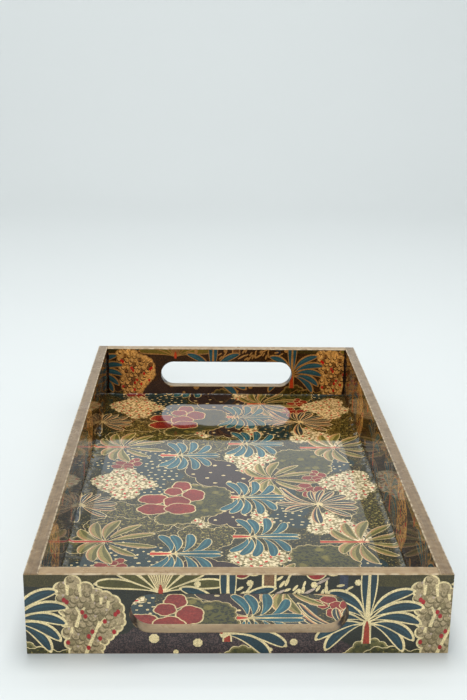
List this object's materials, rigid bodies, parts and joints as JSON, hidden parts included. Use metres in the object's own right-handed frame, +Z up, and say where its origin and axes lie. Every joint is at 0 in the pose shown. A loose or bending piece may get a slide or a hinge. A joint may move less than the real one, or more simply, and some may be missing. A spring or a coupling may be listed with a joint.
{
  "type": "serving tray",
  "caption": "Rectangular wooden serving tray with straight walls, a hand slot in each end, and glossy lacquered floral printed paper on every face.",
  "frame": {"origin": "centre of the footprint, on the plane the tray rests on", "axes": "+Z up, +Y along the tray's length from the front end to the rear end, +X to the right across it"},
  "size_m": [0.254, 0.45, 0.054],
  "materials": {
    "fibreboard": "raw sanded fibreboard",
    "printed_paper": "dark botanical print under clear gloss lacquer",
    "clear_enamel": "poured clear gloss enamel",
    "rim_paint": "brushed satin champagne paint over filler",
    "lining_paper": "plain dark lining paper, matt",
    "nail_steel": "bright drawn steel"
  },
  "bodies": {
    "root": {"base_panel": "fibreboard", "base_pins": "nail_steel", "clear_enamel_coat": "clear_enamel", "corner_brads": "nail_steel", "floor_print": "printed_paper", "front_end_rail": "fibreboard", "front_inner_print": "printed_paper", "front_outer_print": "printed_paper", "front_slot_band": "rim_paint", "left_inner_print": "printed_paper", "left_outer_print": "printed_paper", "left_side_rail": "fibreboard", "rear_end_rail": "fibreboard", "rear_inner_print": "printed_paper", "rear_outer_print": "printed_paper", "rear_slot_band": "rim_paint", "right_inner_print": "printed_paper", "right_outer_print": "printed_paper", "right_side_rail": "fibreboard", "rim_band": "rim_paint", "underside_lining": "lining_paper"}
  },
  "joints": []
}
